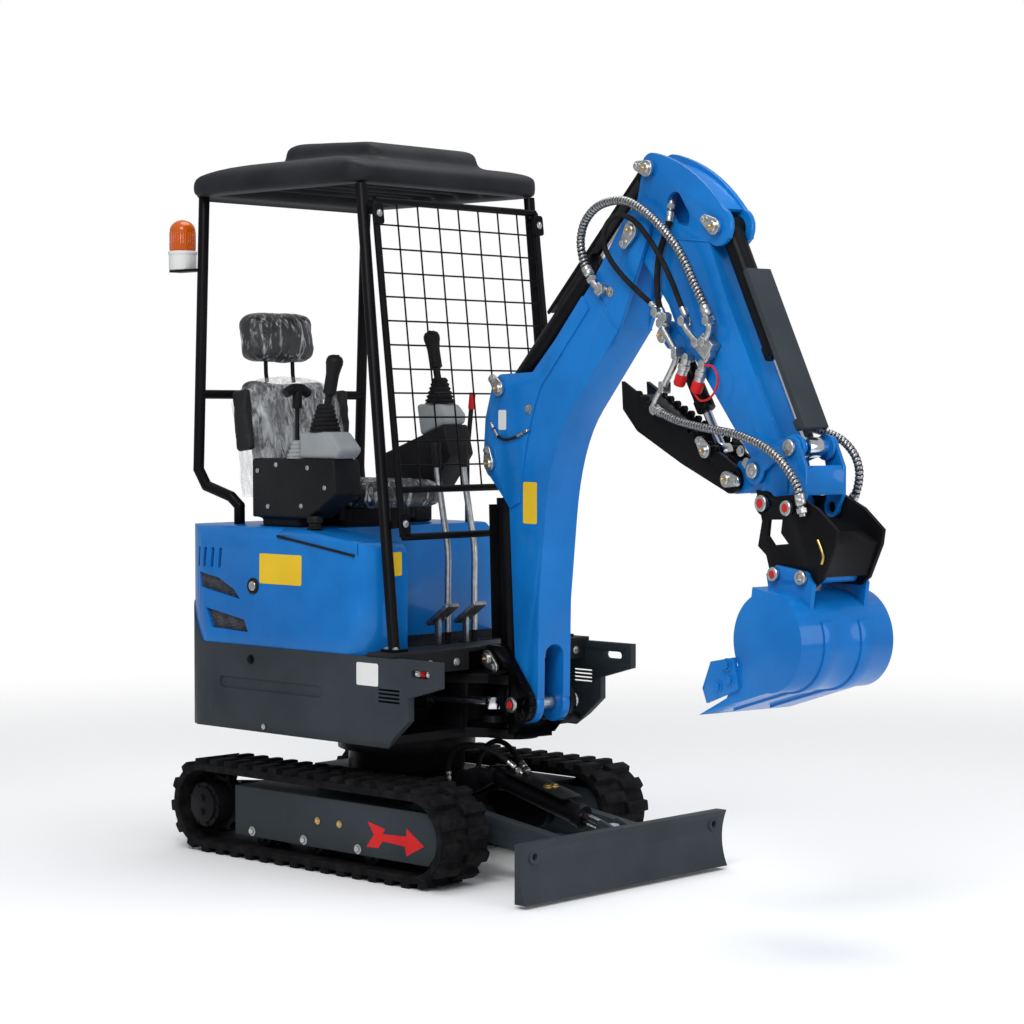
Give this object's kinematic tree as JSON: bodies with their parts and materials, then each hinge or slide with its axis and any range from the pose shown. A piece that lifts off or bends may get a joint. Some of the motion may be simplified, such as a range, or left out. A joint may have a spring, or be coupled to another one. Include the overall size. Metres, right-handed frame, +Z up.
{
  "type": "mini excavator",
  "caption": "Compact tracked excavator with canopy and mesh guard, swinging boom, dipper with thumb, bucket on a quick hitch, and a dozer blade.",
  "frame": {"origin": "On the ground under the middle of the whole machine, between the beacon at the rear and the quick hitch at the front, on the centre line of the tracks.", "axes": "+X forward towards the blade, +Y to the left of the operator, +Z up"},
  "size_m": [2.7602, 0.93, 2.314],
  "materials": {
    "track_rubber": "matt moulded rubber",
    "slate_paint": "satin dark slate paint",
    "black_paint": "satin black paint",
    "chrome_rod": "ground hard chrome",
    "blue_paint": "glossy blue paint",
    "engine_iron": "cast iron, hidden",
    "floor_aluminium": "ribbed aluminium",
    "black_plastic": "grained black plastic",
    "grey_plastic": "light grey plastic",
    "seat_vinyl": "black vinyl",
    "white_plastic": "white plastic",
    "amber_plastic": "clear amber plastic",
    "zinc_steel": "zinc-plated steel"
  },
  "bodies": {
    "undercarriage": {"track_left": "track_rubber", "track_right": "track_rubber", "track_frames": "slate_paint", "sprockets": "black_paint", "idlers": "black_paint", "rollers": "black_paint", "lower_frame": "black_paint", "slew_ring": "black_paint"},
    "blade": {"blade": "slate_paint"},
    "blade_cylinder": {"blade_cylinder": "black_paint"},
    "blade_rod": {"blade_rod": "chrome_rod"},
    "house": {"deck": "black_paint", "counterweight": "slate_paint", "engine_cover": "blue_paint", "cover_grille": "black_plastic", "engine": "engine_iron", "floor_plate": "floor_aluminium", "pedals": "floor_aluminium", "consoles": "black_plastic", "console_tops": "grey_plastic", "control_levers": "black_plastic", "seat_cushion": "seat_vinyl", "seat_back": "seat_vinyl", "armrests": "black_plastic", "canopy_frame": "black_paint", "roof": "black_plastic", "front_guard": "black_paint", "beacon_base": "white_plastic", "beacon_dome": "amber_plastic"},
    "filler_lid": {"filler_lid": "blue_paint"},
    "swing_bracket": {"swing_bracket": "black_paint"},
    "swing_cylinder": {"swing_cylinder": "black_paint"},
    "swing_rod": {"swing_rod": "chrome_rod"},
    "boom": {"boom": "blue_paint"},
    "boom_cylinder": {"boom_cylinder": "black_paint"},
    "boom_rod": {"boom_rod": "chrome_rod"},
    "dipper_cylinder": {"dipper_cylinder": "black_paint"},
    "dipper_rod": {"dipper_rod": "chrome_rod", "dipper_guard": "black_paint"},
    "dipper": {"dipper": "blue_paint", "valve_block": "zinc_steel"},
    "bucket_cylinder": {"bucket_cylinder": "black_paint"},
    "bucket_rod": {"bucket_rod": "chrome_rod", "bucket_guard": "slate_paint"},
    "rocker": {"rocker": "blue_paint"},
    "bucket_link": {"bucket_link": "blue_paint"},
    "thumb": {"thumb": "black_paint"},
    "thumb_cylinder": {"thumb_cylinder": "black_paint"},
    "thumb_rod": {"thumb_rod": "chrome_rod"},
    "bucket": {"quick_hitch": "black_paint", "bucket": "blue_paint"}
  },
  "joints": [
    {"name": "slew", "type": "hinge", "parent": "undercarriage", "child": "house", "pos_m": [-0.64406, 0, 0.4], "axis": [0, 0, 1], "continuous": true},
    {"name": "boom_swing", "type": "hinge", "parent": "house", "child": "swing_bracket", "pos_m": [-0.16007, 0, 0.541], "axis": [0, 0, 1], "range_deg": [-44.7, 65.3]},
    {"name": "swing_cylinder_pivot", "type": "hinge", "parent": "house", "child": "swing_cylinder", "pos_m": [-0.57407, -0.235, 0.538], "axis": [0, 0, 1], "range_deg": [-0.79, 0.93]},
    {"name": "swing_rod_slide", "type": "slide", "parent": "swing_cylinder", "child": "swing_rod", "axis": [0.9607, 0.2777, 0], "range_m": [-0.07553, 0.10988]},
    {"name": "boom", "type": "hinge", "parent": "swing_bracket", "child": "boom", "pos_m": [-0.0174, -0.02593, 0.541], "axis": [-0.1788, -0.9839, 0], "range_deg": [-95, 4]},
    {"name": "boom_cylinder_pivot", "type": "hinge", "parent": "swing_bracket", "child": "boom_cylinder", "pos_m": [-0.16498, 0.00089, 0.671], "axis": [-0.1788, -0.9839, 0], "range_deg": [-96.92, 4.56]},
    {"name": "boom_rod_slide", "type": "slide", "parent": "boom_cylinder", "child": "boom_rod", "axis": [-0.0356, 0.0065, 0.9993], "range_m": [-0.01335, 0.29424]},
    {"name": "dipper", "type": "hinge", "parent": "boom", "child": "dipper", "pos_m": [0.50209, -0.12033, 1.963], "axis": [0.1788, 0.9839, 0], "range_deg": [-98, 10]},
    {"name": "dipper_cylinder_pivot", "type": "hinge", "parent": "boom", "child": "dipper_cylinder", "pos_m": [-0.13842, -0.00393, 1.511], "axis": [-0.1788, -0.9839, 0], "range_deg": [-1.21, 7.48]},
    {"name": "dipper_rod_slide", "type": "slide", "parent": "dipper_cylinder", "child": "dipper_rod", "axis": [0.7352, -0.1336, 0.6645], "range_m": [-0.26137, 0.02757]},
    {"name": "bucket", "type": "hinge", "parent": "dipper", "child": "bucket", "pos_m": [1.0816, -0.22565, 1.19], "axis": [-0.1788, -0.9839, 0], "range_deg": [-90, 60]},
    {"name": "rocker", "type": "hinge", "parent": "dipper", "child": "rocker", "pos_m": [1.01076, -0.21277, 1.277], "axis": [-0.1788, -0.9839, 0], "range_deg": [-51.49, 34.5]},
    {"name": "bucket_link", "type": "hinge", "parent": "rocker", "child": "bucket_link", "pos_m": [1.17015, -0.24174, 1.342], "axis": [-0.1788, -0.9839, 0], "range_deg": [-12.32, 18.24]},
    {"name": "bucket_cylinder_pivot", "type": "hinge", "parent": "dipper", "child": "bucket_cylinder", "pos_m": [0.8435, -0.18238, 1.954], "axis": [-0.1788, -0.9839, 0], "range_deg": [-3.41, 2.44]},
    {"name": "bucket_rod_slide", "type": "slide", "parent": "bucket_cylinder", "child": "bucket_rod", "axis": [0.4692, -0.0853, -0.879], "range_m": [-0.09476, 0.14165]},
    {"name": "thumb", "type": "hinge", "parent": "dipper", "child": "thumb", "pos_m": [0.90647, -0.19382, 1.251], "axis": [-0.1788, -0.9839, 0], "range_deg": [0, 100]},
    {"name": "thumb_cylinder_pivot", "type": "hinge", "parent": "dipper", "child": "thumb_cylinder", "pos_m": [0.61327, -0.14054, 1.657], "axis": [-0.1788, -0.9839, 0], "range_deg": [-11.03, 0.5]},
    {"name": "thumb_rod_slide", "type": "slide", "parent": "thumb_cylinder", "child": "thumb_rod", "axis": [0.5233, -0.0951, -0.8468], "range_m": [-0.001, 0.16313]},
    {"name": "blade", "type": "hinge", "parent": "undercarriage", "child": "blade", "pos_m": [-0.17406, 0, 0.17], "axis": [0, -1, 0], "range_deg": [-15, 25]},
    {"name": "blade_cylinder_pivot", "type": "hinge", "parent": "undercarriage", "child": "blade_cylinder", "pos_m": [-0.24407, 0, 0.292], "axis": [0, -1, 0], "range_deg": [-12.81, 21.01]},
    {"name": "blade_rod_slide", "type": "slide", "parent": "blade_cylinder", "child": "blade_rod", "axis": [0.9698, 0, -0.2439], "range_m": [-0.04774, 0.02904]},
    {"name": "filler_lid", "type": "hinge", "parent": "house", "child": "filler_lid", "pos_m": [-0.41807, -0.418, 1.0384], "axis": [0, 1, 0], "range_deg": [0, 70]}
  ],
  "couplings": [
    {"joint": "swing_cylinder_pivot", "follows": "boom_swing", "ratio": 0.00651},
    {"joint": "swing_rod_slide", "follows": "boom_swing", "m_per_rad": 0.095537},
    {"joint": "boom_cylinder_pivot", "follows": "boom", "ratio": 1.015},
    {"joint": "boom_rod_slide", "follows": "boom", "m_per_rad": -0.17686},
    {"joint": "dipper_cylinder_pivot", "follows": "dipper", "ratio": -0.071181},
    {"joint": "dipper_rod_slide", "follows": "dipper", "m_per_rad": 0.15222},
    {"joint": "rocker", "follows": "bucket", "ratio": 0.56662},
    {"joint": "bucket_link", "follows": "bucket", "ratio": -0.19707},
    {"joint": "bucket_cylinder_pivot", "follows": "bucket", "ratio": 0.032374},
    {"joint": "bucket_rod_slide", "follows": "bucket", "m_per_rad": -0.089538},
    {"joint": "thumb_cylinder_pivot", "follows": "thumb", "ratio": -0.10531},
    {"joint": "thumb_rod_slide", "follows": "thumb", "m_per_rad": 0.092893},
    {"joint": "blade_cylinder_pivot", "follows": "blade", "ratio": 0.82042},
    {"joint": "blade_rod_slide", "follows": "blade", "m_per_rad": -0.10711}
  ]
}
